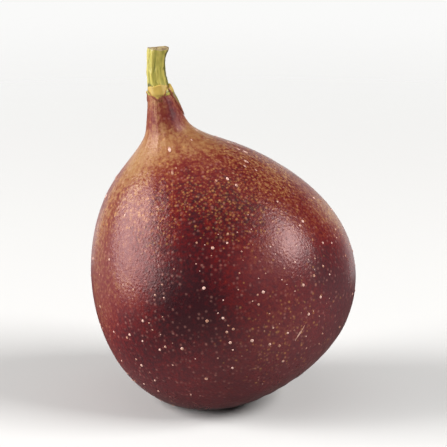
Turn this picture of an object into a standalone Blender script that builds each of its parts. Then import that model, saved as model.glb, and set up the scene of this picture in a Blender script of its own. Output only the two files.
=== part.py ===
"""A fresh fig, picked with its stalk, resting on a table.

The fruit is one turned solid laid along a leaning axis that curves towards upright at the neck,
as in a fig that hung from a bent twig.  Its soft underside has settled flat.  The stalk, the
three scales at the stalk joint and the two whorls of scales in the eye are pieces of their own.

Units are metres, +Z is up, and the fig rests on Z = 0.  Its axis lies in the XZ plane: the stalk
end leans towards -X, and the eye, at the other end, looks down towards +X.

    blender --background --python part.py
"""

import math

import bmesh
import bpy
from mathutils import Vector
from mathutils.geometry import interpolate_bezier

MM = 0.001

# Fruit, with distances measured along its axis from the eye
BODY_RADIUS = 28.3 * MM
WIDEST_AT = 23.2 * MM
SHOULDER_RADIUS = 16.2 * MM
SHOULDER_AT = 50.7 * MM
NECK_ROOT_RADIUS = 5.1 * MM
NECK_ROOT_AT = 60.3 * MM
NECK_TOP_RADIUS = 2.6 * MM
NECK_TOP_AT = 69.0 * MM

# Eye: the round dimple at the end away from the stalk
EYE_RIM_RADIUS = 5.2 * MM
EYE_RIM_AT = 0.2 * MM
EYE_FLOOR_RADIUS = 3.5 * MM
EYE_DEPTH = 1.8 * MM

# Outline knots from the neck's top to the middle of the eye's floor: radius, distance, heading in
# degrees (0 outwards, 90 towards the eye, 180 inwards), and the handles before and after
OUTLINE = (
    (NECK_TOP_RADIUS, NECK_TOP_AT, 80.0, 0.0, 2.5 * MM),
    (NECK_ROOT_RADIUS, NECK_ROOT_AT, 50.0, 1.0 * MM, 5.2 * MM),
    (SHOULDER_RADIUS, SHOULDER_AT, 45.0, 6.7 * MM, 8.2 * MM),
    (BODY_RADIUS, WIDEST_AT, 90.0, 11.3 * MM, 14.5 * MM),
    (EYE_RIM_RADIUS, EYE_RIM_AT, 180.0, 13.0 * MM, 0.7 * MM),
    (EYE_FLOOR_RADIUS, EYE_DEPTH, 200.0, 0.5 * MM, 0.5 * MM),
    (0.0, EYE_DEPTH, 180.0, 1.0 * MM, 0.0),
)

# Lie of the axis: its lean at the eye, and the distance at which it would come upright
LEAN = math.radians(30.0)
UPRIGHT_AT = 110.0 * MM

# Slow swellings round the body: how many, their height, and where the first one lies
SWELLINGS = (
    (2, 0.35 * MM, math.radians(20.0)),
    (3, 0.30 * MM, math.radians(75.0)),
    (7, 0.16 * MM, math.radians(10.0)),
)

# How far the soft underside has settled, and how gently the flat runs out
SETTLED = 2.0 * MM
SETTLE_BLEND = 0.4 * MM

# Fineness of the fruit's mesh
AROUND = 64
OUTLINE_SPACING = 2.1 * MM
FEWEST_STEPS = 4

# Clearance that keeps neighbouring pieces apart
GAP = 0.3 * MM

# Stalk, from its foot to its cut end: share of its length, share of its bow, radius
STALK_LENGTH = 9.0 * MM
STALK_BOW = 0.7 * MM
STALK_KNOTS = (
    (0.0, 0.0, 2.3 * MM),
    (0.25, 0.65, 2.1 * MM),
    (0.5, 1.0, 1.95 * MM),
    (0.8, 0.85, 1.95 * MM),
    (1.0, 0.45, 2.1 * MM),
)

# Scales at the stalk joint: name, direction round the neck, width, length
NECK_SCALES = (
    ("neck_scale_front", math.radians(262.0), 4.4 * MM, 2.4 * MM),
    ("neck_scale_right", math.radians(8.0), 3.6 * MM, 5.6 * MM),
    ("neck_scale_back", math.radians(135.0), 4.2 * MM, 3.4 * MM),
)
NECK_SCALE_THICKNESS = 0.45 * MM
NECK_SCALE_LIFT = 0.2 * MM

# Scales in the eye: whorl, count, radius of the ring they grow on, width, length, rise, first turn
EYE_WHORLS = (
    ("eye_scale_outer", 6, 3.2 * MM, 2.6 * MM, 1.6 * MM, math.radians(35.0), 0.0),
    ("eye_scale_inner", 4, 1.7 * MM, 1.9 * MM, 3.0 * MM, math.radians(66.0), math.radians(30.0)),
)
EYE_SCALE_THICKNESS = 0.35 * MM
SCALE_TIP_WIDTH = 0.12

# Materials: name, colour, roughness
FIG_SKIN = ("fig_skin", (0.155, 0.028, 0.03, 1.0), 0.42)
GREEN_STALK = ("green_stalk", (0.48, 0.44, 0.09, 1.0), 0.6)
NECK_SCALE = ("neck_scale", (0.5, 0.33, 0.1, 1.0), 0.65)
EYE_SCALE = ("eye_scale", (0.25, 0.05, 0.045, 1.0), 0.6)


def clear_scene():
    for obj in list(bpy.data.objects):
        bpy.data.objects.remove(obj)


def make_material(name, colour, roughness):
    material = bpy.data.materials.new(name)
    material.use_nodes = True
    shader = material.node_tree.nodes["Principled BSDF"]
    shader.inputs["Base Color"].default_value = colour
    shader.inputs["Roughness"].default_value = roughness
    shader.inputs["Metallic"].default_value = 0.0
    return material


def add_object(name, data, parent):
    """A named object of the fig, placed under its parent empty."""
    obj = bpy.data.objects.new(name, data)
    obj.parent = parent
    bpy.data.collections["fresh_fig"].objects.link(obj)
    return obj


def smooth_mesh(name, bm, material):
    """A mesh from a bmesh, with its faces pointing out and shaded smooth."""
    bmesh.ops.recalc_face_normals(bm, faces=bm.faces)
    mesh = bpy.data.meshes.new(name)
    bm.to_mesh(mesh)
    bm.free()
    mesh.shade_smooth()
    mesh.materials.append(material)
    return mesh


def smoothstep(low, high, value):
    t = min(1.0, max(0.0, (value - low) / (high - low)))
    return t * t * (3.0 - 2.0 * t)


def axis_lean(distance):
    return LEAN * (1.0 - smoothstep(0.0, UPRIGHT_AT, distance))


def axis_point(distance, steps=64):
    """The point of the fruit's axis at a distance from the eye, which is the origin here."""
    point = Vector((0.0, 0.0, 0.0))
    for i in range(steps):
        lean = axis_lean((i + 0.5) / steps * distance)
        point += Vector((-math.sin(lean), 0.0, math.cos(lean))) * (distance / steps)
    return point


def point_round_axis(radius, angle, distance):
    """A point at a radius from the axis. Angle 0 is on the side that faces up, towards +X."""
    lean = axis_lean(distance)
    across = Vector((math.cos(lean), 0.0, math.sin(lean)))
    back = Vector((0.0, 1.0, 0.0))
    return axis_point(distance) + radius * (math.cos(angle) * across + math.sin(angle) * back)


def fruit_outline():
    """(radius, distance) points down the outer side, from the middle of the neck's top to the eye."""
    points = [Vector((0.0, NECK_TOP_AT)), Vector((NECK_TOP_RADIUS, NECK_TOP_AT))]
    for this, following in zip(OUTLINE, OUTLINE[1:]):
        start, end = Vector(this[:2]), Vector(following[:2])
        leaving, arriving = math.radians(this[2]), math.radians(following[2])
        handle_out = start + Vector((math.cos(leaving), -math.sin(leaving))) * this[4]
        handle_in = end - Vector((math.cos(arriving), -math.sin(arriving))) * following[3]
        steps = max(FEWEST_STEPS, round((end - start).length / OUTLINE_SPACING))
        points += interpolate_bezier(start, handle_out, handle_in, end, steps + 1)[1:]
    return points


def swelling(angle, distance):
    """How far the body swells past its turned outline. It fades out at the neck and the eye."""
    below_neck = 1.0 - smoothstep(SHOULDER_AT, NECK_ROOT_AT, distance)
    height = sum(height * math.cos(count * (angle - turn)) for count, height, turn in SWELLINGS)
    return height * below_neck * smoothstep(0.0, WIDEST_AT, distance)


def turned_solid(outline):
    """A bmesh of the outline turned round Z by a Screw modifier."""
    mesh = bpy.data.meshes.new("outline")
    edges = [(i, i + 1) for i in range(len(outline) - 1)]
    mesh.from_pydata([(radius, 0.0, distance) for radius, distance in outline], edges, [])
    obj = bpy.data.objects.new("outline", mesh)
    bpy.context.scene.collection.objects.link(obj)
    screw = obj.modifiers.new("turn", "SCREW")
    screw.axis = "Z"
    screw.steps = screw.render_steps = AROUND
    screw.use_merge_vertices = True
    screw.merge_threshold = 0.01 * MM
    bm = bmesh.new()
    bm.from_object(obj, bpy.context.evaluated_depsgraph_get())
    bpy.data.objects.remove(obj)
    return bm


def settled(height):
    """A height above the floor after settling: flat at the floor, running out gently round it."""
    if height >= SETTLE_BLEND:
        return height
    return max(0.0, height + SETTLE_BLEND) ** 2 / (4.0 * SETTLE_BLEND)


def make_fruit(outline, material, parent):
    """Makes the fruit, and returns the height of the floor that it has settled on."""
    bm = turned_solid(outline)
    for vert in bm.verts:
        radius = math.hypot(vert.co.x, vert.co.y)
        angle = math.atan2(vert.co.y, vert.co.x)
        distance = vert.co.z
        radius += swelling(angle, distance) * smoothstep(0.0, EYE_RIM_RADIUS, radius)
        vert.co = point_round_axis(radius, angle, distance)
    floor = min(vert.co.z for vert in bm.verts) + SETTLED
    for vert in bm.verts:
        vert.co.z = floor + settled(vert.co.z - floor)
    add_object("fruit", smooth_mesh("fruit", bm, material), parent)
    return floor


def make_stalk(material, parent):
    """A short rod, widest at its foot, that bows towards -X and swells a little at its cut end."""
    curve = bpy.data.curves.new("stalk", "CURVE")
    curve.dimensions = "3D"
    curve.bevel_depth = 1.0
    curve.bevel_resolution = 6
    curve.resolution_u = 3
    curve.use_fill_caps = True
    curve.materials.append(material)
    spline = curve.splines.new("BEZIER")
    spline.bezier_points.add(len(STALK_KNOTS) - 1)
    for knot, (height, bow, radius) in zip(spline.bezier_points, STALK_KNOTS):
        knot.co = (-bow * STALK_BOW, 0.0, height * STALK_LENGTH)
        knot.radius = radius
        knot.handle_left_type = knot.handle_right_type = "AUTO"
    stalk = add_object("stalk", curve, parent)
    stalk.location = axis_point(NECK_TOP_AT) + Vector((0.0, 0.0, GAP))


def neck_radius(outline, distance):
    """The neck's radius at a distance from the eye, read between the outline's points."""
    for above, below in zip(outline[1:], outline[2:]):
        if distance > below.y:
            share = (above.y - distance) / (above.y - below.y)
            return above.x + share * (below.x - above.x)
    raise ValueError(f"the outline has no neck at {distance}")


def scale_width(share):
    """A scale's width at a share of its length, against its full width: rounded to a blunt tip."""
    return SCALE_TIP_WIDTH + (1.0 - SCALE_TIP_WIDTH) * math.sqrt(max(0.0, 1.0 - share * share))


def scale_sheet(name, place, across, along, material):
    """The sheet of a scale. place(side, share) gives each point, with side from -1 to 1."""
    bm = bmesh.new()
    bmesh.ops.create_grid(bm, x_segments=across, y_segments=along, size=1.0)
    for vert in bm.verts:
        vert.co = place(vert.co.x, (vert.co.y + 1.0) / 2.0)
    return smooth_mesh(name, bm, material)


def thicken(obj, thickness):
    solidify = obj.modifiers.new("thickness", "SOLIDIFY")
    solidify.thickness = thickness
    solidify.offset = 0.0


def make_neck_scale(name, direction, width, length, outline, material, parent):
    """A scale that grows at the stalk joint and lies down the neck, lifting a little at its tip."""
    mid_radius = neck_radius(outline, NECK_TOP_AT - length / 2.0)

    def place(side, share):
        distance = NECK_TOP_AT - share * length
        off_neck = GAP + NECK_SCALE_THICKNESS / 2.0 + NECK_SCALE_LIFT * share * share
        angle = direction + side * scale_width(share) * width / 2.0 / mid_radius
        return point_round_axis(neck_radius(outline, distance) + off_neck, angle, distance)

    scale = add_object(name, scale_sheet(name, place, 6, 5, material), parent)
    thicken(scale, NECK_SCALE_THICKNESS)


def make_eye_whorl(name, count, ring, width, length, rise, first_turn, material, eye):
    """Equal scales that grow on a ring in the eye and lean in over it, clear of each other."""
    foot_depth = EYE_DEPTH - GAP - EYE_SCALE_THICKNESS
    clear = (GAP + EYE_SCALE_THICKNESS) / 2.0

    def place(side, share):
        from_axis = ring - share * length * math.cos(rise)
        room = from_axis * math.tan(math.pi / count) - clear
        half = min(scale_width(share) * width / 2.0, room)
        return Vector((from_axis, side * half, foot_depth - share * length * math.sin(rise)))

    sheet = scale_sheet(name, place, 4, 4, material)
    for i in range(count):
        scale = add_object(f"{name}_{i + 1}", sheet, eye)
        scale.rotation_euler.z = first_turn + 2.0 * math.pi * i / count
        thicken(scale, EYE_SCALE_THICKNESS)


def stand_on_origin(root, floor):
    """Moves the fig so that it rests on Z = 0 with its box centred over the origin."""
    bpy.context.view_layer.update()
    graph = bpy.context.evaluated_depsgraph_get()
    corners = [
        obj.matrix_world @ Vector(corner)
        for obj in root.children
        if obj.type != "EMPTY"
        for corner in obj.evaluated_get(graph).bound_box
    ]
    middle = [(min(c[i] for c in corners) + max(c[i] for c in corners)) / 2.0 for i in range(2)]
    root.location = (-middle[0], -middle[1], -floor)


def main():
    clear_scene()
    collection = bpy.data.collections.new("fresh_fig")
    bpy.context.scene.collection.children.link(collection)
    root = add_object("fig_place", None, None)
    eye = add_object("eye_place", None, root)
    eye.rotation_euler.y = -LEAN

    outline = fruit_outline()
    floor = make_fruit(outline, make_material(*FIG_SKIN), root)
    make_stalk(make_material(*GREEN_STALK), root)
    neck_material = make_material(*NECK_SCALE)
    for name, direction, width, length in NECK_SCALES:
        make_neck_scale(name, direction, width, length, outline, neck_material, root)
    eye_material = make_material(*EYE_SCALE)
    for whorl in EYE_WHORLS:
        make_eye_whorl(*whorl, eye_material, eye)
    stand_on_origin(root, floor)


main()
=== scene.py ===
"""The looks of a fresh fig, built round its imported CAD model.

The file is laid out as a Blender add-on and is run as a script. Each operator makes one piece of
the fig, or a group of like pieces, in metres and in the CAD model's own frame: +Z is up, the fig
rests on Z = 0, its stalk end leans towards -X and its eye looks down towards +X. A place on the
skin is a direction in degrees round the fruit's curved axis, where 0 is towards +X and 90 towards
+Y, and a distance in millimetres along that axis from the eye.
"""

import math
from functools import partial

import bmesh
import bpy
import numpy as np
from bpy.props import FloatProperty, FloatVectorProperty, IntProperty, PointerProperty
from bpy.types import Operator, Panel, PropertyGroup
from mathutils import Matrix, Quaternion, Vector
from mathutils.bvhtree import BVHTree


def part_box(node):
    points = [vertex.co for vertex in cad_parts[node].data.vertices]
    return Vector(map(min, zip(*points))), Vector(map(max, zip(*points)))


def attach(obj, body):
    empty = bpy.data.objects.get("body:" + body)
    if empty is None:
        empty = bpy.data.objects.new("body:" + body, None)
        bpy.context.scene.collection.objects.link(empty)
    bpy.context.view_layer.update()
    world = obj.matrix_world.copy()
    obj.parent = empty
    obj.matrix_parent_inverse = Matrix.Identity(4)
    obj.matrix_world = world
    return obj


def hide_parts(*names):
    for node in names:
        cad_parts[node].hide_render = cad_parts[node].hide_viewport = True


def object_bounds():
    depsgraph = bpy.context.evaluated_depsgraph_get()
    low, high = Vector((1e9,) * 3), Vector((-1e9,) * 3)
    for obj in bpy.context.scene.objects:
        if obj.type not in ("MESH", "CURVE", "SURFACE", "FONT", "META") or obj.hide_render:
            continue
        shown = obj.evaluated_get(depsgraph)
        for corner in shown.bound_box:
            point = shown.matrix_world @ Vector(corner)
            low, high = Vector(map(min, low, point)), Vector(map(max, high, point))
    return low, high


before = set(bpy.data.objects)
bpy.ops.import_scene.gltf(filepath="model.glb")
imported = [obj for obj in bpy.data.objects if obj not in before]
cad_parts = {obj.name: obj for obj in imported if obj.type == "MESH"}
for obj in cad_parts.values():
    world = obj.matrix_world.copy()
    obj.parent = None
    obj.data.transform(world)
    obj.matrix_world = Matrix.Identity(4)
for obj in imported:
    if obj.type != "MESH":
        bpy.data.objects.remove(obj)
CAD_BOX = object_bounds()

bl_info = {
    "name": "Fresh fig",
    "version": (1, 0, 0),
    "blender": (4, 5, 0),
    "location": "View3D > Sidebar > Fig",
    "description": "Builds a ripe fig with its stalk, scales and speckled skin",
    "category": "Mesh",
}

MM = 0.001
BODY = "root"

# The fruit's axis, as the CAD model has it: its lean at the eye, and the distance at which it
# would come upright, past its end. Its distances are in millimetres.
AXIS_LEAN = math.radians(30.0)
AXIS_UPRIGHT_AT = 110.0
AXIS_END = 72.0
AXIS_SAMPLES = 700
NECK_TOP_AT = 69.0

# The depth of the hollow that the eye's scales stand in
EYE_DEPTH = 1.8 * MM

# How far from the axis a ray starts on its way in, outside every surface
OUTSIDE = 100.0 * MM

# Corners of the CAD triangles that lie closer than this are one corner
MERGE_DISTANCE = 0.001 * MM

OUTER_EYE_SCALES = [f"eye_scale_outer_{i + 1}" for i in range(6)]
INNER_EYE_SCALES = [f"eye_scale_inner_{i + 1}" for i in range(4)]

# How often a surface is divided before its ribs are raised
SUBDIVISIONS = 2

# How deep the fine relief of every surface is
BUMP_DEPTH = 0.1 * MM

# The colour sockets of a Mix node and the number sockets of a Random Value node, which share
# their names with sockets of other kinds
MIX_UNDER, MIX_OVER, MIX_RESULT = 6, 7, 2
RANDOM_LEAST, RANDOM_MOST, RANDOM_RESULT = 2, 3, 1


def linear(hex_colour):
    """A hex sRGB colour as linear red, green, blue and a full alpha."""
    coded = np.array([int(hex_colour[i : i + 2], 16) / 255.0 for i in (0, 2, 4)])
    light = np.where(coded <= 0.04045, coded / 12.92, ((coded + 0.055) / 1.055) ** 2.4)
    return (*light.tolist(), 1.0)


def smoothstep(low, high, value):
    """0 below low and 1 above high, with a soft step between them."""
    share = np.clip((value - low) / (high - low), 0.0, 1.0)
    return share * share * (3.0 - 2.0 * share)


def bell(value):
    """1 at zero, falling away softly on both sides."""
    return np.exp(-(value**2))


def turn_between(angles, direction):
    """How far angles in radians lie from a direction in degrees, as degrees from -180 to 180."""
    return (np.degrees(angles) - direction + 180.0) % 360.0 - 180.0


def facing(angles, direction, half_width):
    """1 where angles face a direction, falling away softly over a half width in degrees."""
    return bell(turn_between(angles, direction) / half_width)


def pattern_scale(millimetres):
    """The scale of a texture whose features are to be this far apart."""
    return 1.0 / (millimetres * MM)


def colour_property(name, description, hex_colour):
    return FloatVectorProperty(
        name=name,
        description=description,
        subtype="COLOR",
        size=4,
        min=0.0,
        max=1.0,
        default=linear(hex_colour),
    )


def length_property(name, description, millimetres):
    return FloatProperty(
        name=name, description=description, unit="LENGTH", min=0.0, default=millimetres * MM
    )


# ---------------------------------------------------------------- the frame's geometry


def merged_cad(node):
    """A bmesh copy of a CAD node's mesh, with its loose triangles merged."""
    bm = bmesh.new()
    bm.from_mesh(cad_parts[node].data)
    bmesh.ops.remove_doubles(bm, verts=bm.verts, dist=MERGE_DISTANCE)
    return bm


class FruitAxis:
    """The curved line through the fruit from its eye to its neck, and places round it."""

    def __init__(self):
        self.distances = np.linspace(0.0, AXIS_END, AXIS_SAMPLES)
        leans = AXIS_LEAN * (1.0 - smoothstep(0.0, AXIS_UPRIGHT_AT, self.distances))
        zeros = np.zeros(AXIS_SAMPLES)
        self.along = np.stack([-np.sin(leans), zeros, np.cos(leans)], axis=1)
        self.across = np.stack([np.cos(leans), zeros, np.sin(leans)], axis=1)
        steps = (self.along[1:] + self.along[:-1]) / 2.0 * np.diff(self.distances * MM)[:, None]
        self.points = np.vstack([np.zeros(3), np.cumsum(steps, axis=0)]) + self.eye_point()

    def eye_point(self):
        """Where the axis starts: at the eye's mouth, over the middle of its outer scales."""
        scales = [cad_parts[name].data.vertices for name in OUTER_EYE_SCALES]
        middle = np.mean([np.mean([v.co for v in vertices], axis=0) for vertices in scales], axis=0)
        inwards = Vector(self.along[0])
        fruit = merged_cad("fruit")
        start = Vector(middle) - inwards * EYE_DEPTH
        floor = BVHTree.FromBMesh(fruit).ray_cast(start, inwards)[0]
        fruit.free()
        return np.array(floor - inwards * EYE_DEPTH)

    def nearest(self, distances):
        """The samples nearest to some distances."""
        return np.round(np.asarray(distances) / AXIS_END * (AXIS_SAMPLES - 1)).astype(int)

    def places(self, points):
        """The direction round the axis, in radians, and the distance along it of each point."""
        samples = np.array([((self.points - p) ** 2).sum(axis=1).argmin() for p in points])
        out = points - self.points[samples]
        angles = np.arctan2(out[:, 1], (out * self.across[samples]).sum(axis=1))
        return angles, self.distances[samples]

    def at(self, distance):
        """The point of the axis at a distance, and the directions across and along it there."""
        i = self.nearest(distance)
        return Vector(self.points[i]), Vector(self.across[i]), Vector(self.along[i])

    def on_surface(self, surfaces, direction, distance):
        """The outermost point of some surfaces at a place, and the way out from the axis there."""
        centre, across, _ = self.at(distance)
        angle = math.radians(direction)
        out = math.cos(angle) * across + math.sin(angle) * Vector((0.0, 1.0, 0.0))
        hits = [surface.ray_cast(centre + out * OUTSIDE, -out) for surface in surfaces]
        hits = [hit for hit in hits if hit[0] is not None]
        if not hits:
            raise RuntimeError(f"nothing lies at {direction} degrees, {distance} mm")
        return min(hits, key=lambda hit: hit[3])[0], out

    def beside(self, surfaces, direction, distance, aside, height):
        """The point at a height over some surfaces, a length aside of a place on them."""
        radius = (self.on_surface(surfaces, direction, distance)[0] - self.at(distance)[0]).length
        turned = direction + math.degrees(aside / radius)
        point, out = self.on_surface(surfaces, turned, distance)
        return point + out * height


AXIS = FruitAxis()


# ---------------------------------------------------------------- nodes


def feed(node, inputs):
    """Sets a node's inputs, or links them where a socket, or a node's first output, feeds them."""
    for key, value in inputs.items():
        if isinstance(value, bpy.types.Node):
            value = value.outputs[0]
        if isinstance(value, bpy.types.NodeSocket):
            node.id_data.links.new(value, node.inputs[key])
        else:
            node.inputs[key].default_value = value


def add_node(tree, kind, inputs=None, stops=(), **settings):
    """Adds a node with its settings and its inputs, by name or by number where names repeat.

    stops are a colour ramp's positions and colours.
    """
    node = tree.nodes.new(kind)
    for name, value in settings.items():
        setattr(node, name, value)
    feed(node, inputs or {})
    for i, (position, colour) in enumerate(stops):
        elements = node.color_ramp.elements
        element = elements[i] if i < len(elements) else elements.new(position)
        element.position = position
        element.color = colour
    return node


def new_material(name):
    """A material with an empty Principled surface, its shader, and add_node for its tree."""
    material = bpy.data.materials.new(name)
    material.use_nodes = True
    tree = material.node_tree
    return material, tree.nodes["Principled BSDF"], partial(add_node, tree)


def new_geometry_tree(name, inputs):
    """A Geometry Nodes tree with inputs (name, kind, default), their sockets, and its add_node."""
    tree = bpy.data.node_groups.new(name, "GeometryNodeTree")
    tree.interface.new_socket("Geometry", in_out="INPUT", socket_type="NodeSocketGeometry")
    for label, kind, default in inputs:
        socket = tree.interface.new_socket(label, in_out="INPUT", socket_type=f"NodeSocket{kind}")
        if default is not None:
            socket.default_value = default
    tree.interface.new_socket("Geometry", in_out="OUTPUT", socket_type="NodeSocketGeometry")
    return tree, tree.nodes.new("NodeGroupInput").outputs, partial(add_node, tree)


def finish_geometry_tree(add, geometry, material):
    """Ends a tree in Realize Instances and Set Material."""
    real = add("GeometryNodeRealizeInstances", {"Geometry": geometry})
    dressed = add("GeometryNodeSetMaterial", {"Geometry": real, "Material": material})
    add("NodeGroupOutput", {"Geometry": dressed})


# ---------------------------------------------------------------- pieces


def new_object(name, mesh):
    obj = bpy.data.objects.new(name, mesh)
    bpy.context.scene.collection.objects.link(obj)
    return obj


def object_from(name, bm):
    mesh = bpy.data.meshes.new(name)
    bm.to_mesh(mesh)
    bm.free()
    return new_object(name, mesh)


def grow(obj, tree, values):
    """Runs a Geometry Nodes tree on an object and turns the result into its own plain mesh."""
    modifier = obj.modifiers.new(tree.name, "NODES")
    modifier.node_group = tree
    for item in tree.interface.items_tree:
        if item.in_out == "INPUT" and item.name in values:
            modifier[item.identifier] = values[item.name]
    graph = bpy.context.evaluated_depsgraph_get()
    mesh = bpy.data.meshes.new_from_object(obj.evaluated_get(graph))
    mesh.name = obj.name
    obj.modifiers.clear()
    obj.data = mesh


def mesh_points(mesh):
    points = np.empty(len(mesh.vertices) * 3)
    mesh.vertices.foreach_get("co", points)
    return points.reshape(-1, 3)


def write_attribute(mesh, name, values):
    """Keeps a number or a vector for each vertex."""
    values = np.ascontiguousarray(values, np.float32)
    kind, field = ("FLOAT_VECTOR", "vector") if values.ndim == 2 else ("FLOAT", "value")
    mesh.attributes.new(name, kind, "POINT").data.foreach_set(field, values.ravel())


def write_places(mesh, angles, distances):
    """Keeps round_axis: the cosine and sine of the direction, and the distance along the axis."""
    place = np.stack([np.cos(angles), np.sin(angles), distances], axis=1)
    write_attribute(mesh, "round_axis", place)


def finish_piece(piece, slot, *nodes):
    """Smooths a piece, fixes it to the fig, and hides the CAD nodes it stands for; its slot is not
    used.
    """
    piece.data.shade_smooth()
    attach(piece, BODY)
    if nodes:
        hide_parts(*nodes)


def surface_of(name):
    """A finished piece's surface, for others to lie on."""
    if name not in bpy.data.objects:
        raise RuntimeError(f"{name} has to be made first")
    bm = bmesh.new()
    bm.from_mesh(bpy.data.objects[name].data)
    surface = BVHTree.FromBMesh(bm)
    bm.free()
    return surface


def closed_sheet(columns, rows, outer, inner):
    """A thin closed solid between two faces, each a function of u, -1 to 1, and v, 0 to 1."""
    bm = bmesh.new()
    grids = [
        [
            [bm.verts.new(face(2.0 * i / columns - 1.0, j / rows)) for i in range(columns + 1)]
            for j in range(rows + 1)
        ]
        for face in (outer, inner)
    ]
    for grid in grids:
        for j in range(rows):
            for i in range(columns):
                bm.faces.new((grid[j][i], grid[j][i + 1], grid[j + 1][i + 1], grid[j + 1][i]))
    edge = [(0, i) for i in range(columns)]
    edge += [(j, columns) for j in range(rows)]
    edge += [(rows, i) for i in range(columns, 0, -1)]
    edge += [(j, 0) for j in range(rows, 0, -1)]
    for here, there in zip(edge, edge[1:] + edge[:1]):
        corners = [grids[0][here[0]][here[1]], grids[0][there[0]][there[1]]]
        corners += [grids[1][there[0]][there[1]], grids[1][here[0]][here[1]]]
        bm.faces.new(corners)
    bmesh.ops.recalc_face_normals(bm, faces=bm.faces)
    return bm


def sheet_places(columns, rows):
    """u and v at each vertex of a closed sheet."""
    u = np.tile(np.linspace(-1.0, 1.0, columns + 1), 2 * (rows + 1))
    v = np.tile(np.repeat(np.linspace(0.0, 1.0, rows + 1), columns + 1), 2)
    return u, v


def lofted(rings):
    """A closed solid through rings of points, with a pole in the middle of each end."""
    bm = bmesh.new()
    rows = [[bm.verts.new(point) for point in ring] for ring in rings]
    count = len(rows[0])
    for low, high in zip(rows, rows[1:]):
        for i in range(count):
            j = (i + 1) % count
            bm.faces.new((low[i], low[j], high[j], high[i]))
    for row in (rows[0], rows[-1]):
        pole = bm.verts.new(sum((v.co for v in row), Vector()) / count)
        for i in range(count):
            bm.faces.new((row[i], row[(i + 1) % count], pole))
    bmesh.ops.recalc_face_normals(bm, faces=bm.faces)
    return bm


def ribbed_surface_tree():
    """Subdivides a surface and raises wandering ribs and shallow dimples on it.

    It reads two attributes of the surface: round_axis, and relief, from 0 to 1, for how much they
    rise. It keeps the ribs' own rise, from -1 to 1, as crest.
    """
    inputs = (
        ("Subdivisions", "Int", SUBDIVISIONS),
        ("Ribs", "Int", 24),
        ("Rib Height", "Float", 0.1 * MM),
        ("Rib Wander", "Float", 1.5),
        ("Rib Length", "Float", 20.0),
        ("Dimple Height", "Float", 0.1 * MM),
        ("Dimple Size", "Float", 5.0 * MM),
        ("Material", "Material", None),
    )
    tree, given, add = new_geometry_tree("ribbed_surface", inputs)
    fine = add(
        "GeometryNodeSubdivisionSurface",
        {"Mesh": given["Geometry"], "Level": given["Subdivisions"]},
    )
    place = add("GeometryNodeInputNamedAttribute", {"Name": "round_axis"}, data_type="FLOAT_VECTOR")
    relief = add("GeometryNodeInputNamedAttribute", {"Name": "relief"})

    # Noise that is drawn out along the axis bends the ribs, and makes them come and go
    x, y, z = add("ShaderNodeSeparateXYZ", {0: place}).outputs
    angle = add("ShaderNodeMath", {0: y, 1: x}, operation="ARCTAN2")
    shortened = add("ShaderNodeMath", {0: z, 1: given["Rib Length"]}, operation="DIVIDE")
    sample = add("ShaderNodeCombineXYZ", {"X": x, "Y": y, "Z": shortened})
    wander = add("ShaderNodeTexNoise", {"Vector": sample, "Scale": 2.5, "Detail": 2.0})
    swing = add("ShaderNodeMath", {0: wander, 1: given["Rib Wander"]}, operation="MULTIPLY")
    turns = add("ShaderNodeMath", {0: angle, 1: given["Ribs"], 2: swing}, operation="MULTIPLY_ADD")
    wave = add("ShaderNodeMath", {0: turns}, operation="SINE")
    unlike = add("ShaderNodeTexNoise", {"Vector": sample, "Scale": 6.0, "Detail": 1.0})
    uneven = add("ShaderNodeMapRange", {"Value": unlike, "From Min": 0.35, "From Max": 0.65})
    crest = add("ShaderNodeMath", {0: wave, 1: uneven}, operation="MULTIPLY")

    spot = add("GeometryNodeInputPosition")
    often = add("ShaderNodeMath", {0: 1.0, 1: given["Dimple Size"]}, operation="DIVIDE")
    dimples = add("ShaderNodeTexNoise", {"Vector": spot, "Scale": often, "Detail": 2.0})
    centred = add("ShaderNodeMath", {0: dimples, 1: 0.5}, operation="SUBTRACT")
    dimple = add("ShaderNodeMath", {0: centred, 1: given["Dimple Height"]}, operation="MULTIPLY")

    ribbed = {0: crest, 1: given["Rib Height"], 2: dimple}
    rise = add("ShaderNodeMath", ribbed, operation="MULTIPLY_ADD")
    height = add("ShaderNodeMath", {0: rise, 1: relief}, operation="MULTIPLY")
    kept = add(
        "GeometryNodeStoreNamedAttribute",
        {"Geometry": fine, "Name": "crest", "Value": crest},
        data_type="FLOAT",
        domain="POINT",
    )
    normal = add("GeometryNodeInputNormal")
    offset = add("ShaderNodeVectorMath", {0: normal, "Scale": height}, operation="SCALE")
    moved = add("GeometryNodeSetPosition", {"Geometry": kept, "Offset": offset})
    finish_geometry_tree(add, moved, given["Material"])
    return tree


# ---------------------------------------------------------------- skin

# How ripe the skin is along the axis, from 0, straw, to 1, black plum: distance, ripeness
RIPENESS_ALONG = (
    (0.0, 0.72),
    (8.0, 0.76),
    (14.0, 0.72),
    (19.0, 0.67),
    (34.0, 0.66),
    (38.0, 0.69),
    (42.0, 0.67),
    (46.0, 0.62),
    (50.0, 0.60),
    (54.0, 0.48),
    (57.0, 0.30),
    (60.0, 0.27),
    (62.0, 0.38),
    (65.0, 0.48),
    (69.0, 0.40),
)

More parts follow.
